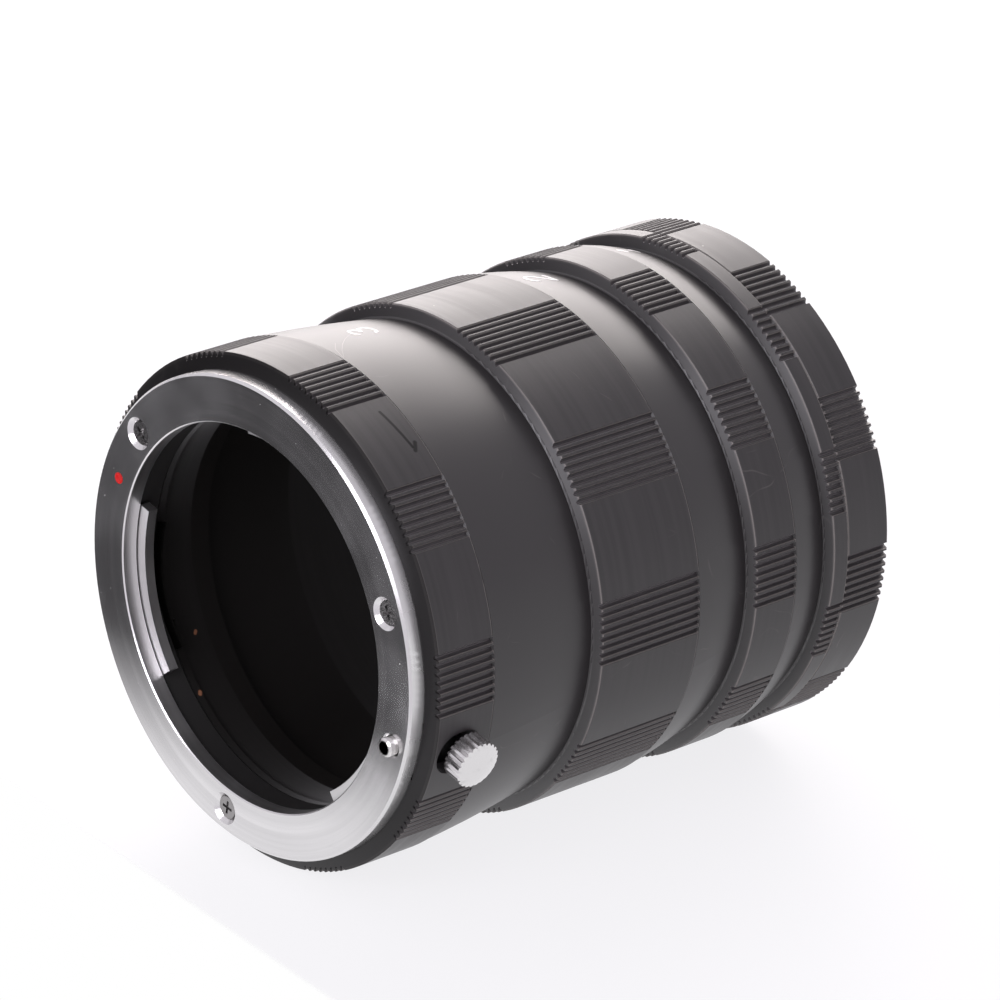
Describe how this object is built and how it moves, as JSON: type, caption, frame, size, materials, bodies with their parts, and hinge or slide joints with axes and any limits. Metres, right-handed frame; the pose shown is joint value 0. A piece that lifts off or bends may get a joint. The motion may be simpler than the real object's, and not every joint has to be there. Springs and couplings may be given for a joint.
{
  "type": "macro extension tube",
  "caption": "Black macro extension tube with a bright lens flange, ribbed grip bands, screwed sections and a spring-loaded locking pin",
  "frame": {"origin": "centre of the camera seat plane, on the optical axis", "axes": "+Z forward along the optical axis, towards the lens; +X towards the release knob"},
  "size_m": [0.0661, 0.0624, 0.0805],
  "materials": {
    "black_anodised": "satin",
    "bright_chrome": "satin",
    "screw_steel": "satin",
    "spring_steel": "satin",
    "pin_steel": "polished",
    "dark_steel": "satin",
    "knob_chrome": "polished",
    "red_paint": "gloss"
  },
  "bodies": {
    "rear_assembly": {"rear_ring": "black_anodised", "camera_bayonet": "bright_chrome", "bayonet_screw_1": "screw_steel", "bayonet_screw_2": "screw_steel", "bayonet_screw_3": "screw_steel"},
    "tube_1_body": {"tube_1": "black_anodised"},
    "tube_2_body": {"tube_2": "black_anodised"},
    "tube_3_body": {"tube_3": "black_anodised"},
    "front_assembly": {"front_ring": "black_anodised", "lens_flange": "bright_chrome", "flange_screw_1": "screw_steel", "flange_screw_2": "screw_steel", "flange_screw_3": "screw_steel", "index_dot": "red_paint", "leaf_spring_1": "spring_steel", "leaf_spring_2": "spring_steel", "leaf_spring_3": "spring_steel", "pin_spring_1": "spring_steel", "pin_spring_2": "spring_steel"},
    "release": {"lock_pin": "pin_steel", "pin_slider": "dark_steel", "release_knob": "knob_chrome"}
  },
  "joints": [
    {"name": "unscrew_tube_1", "type": "slide", "parent": "rear_assembly", "child": "tube_1_body", "axis": [0, 0, 1], "range_m": [0, 0.005]},
    {"name": "unscrew_tube_2", "type": "slide", "parent": "tube_1_body", "child": "tube_2_body", "axis": [0, 0, 1], "range_m": [0, 0.005]},
    {"name": "unscrew_tube_3", "type": "slide", "parent": "tube_2_body", "child": "tube_3_body", "axis": [0, 0, 1], "range_m": [0, 0.005]},
    {"name": "unscrew_front", "type": "slide", "parent": "tube_3_body", "child": "front_assembly", "axis": [0, 0, 1], "range_m": [0, 0.005]},
    {"name": "release_slide", "type": "slide", "parent": "front_assembly", "child": "release", "axis": [0, 0, -1], "range_m": [0, 0.0015], "stiffness_N_per_m": 900, "springref_m": -0.001, "deforming": ["pin_spring_1", "pin_spring_2"]}
  ]
}
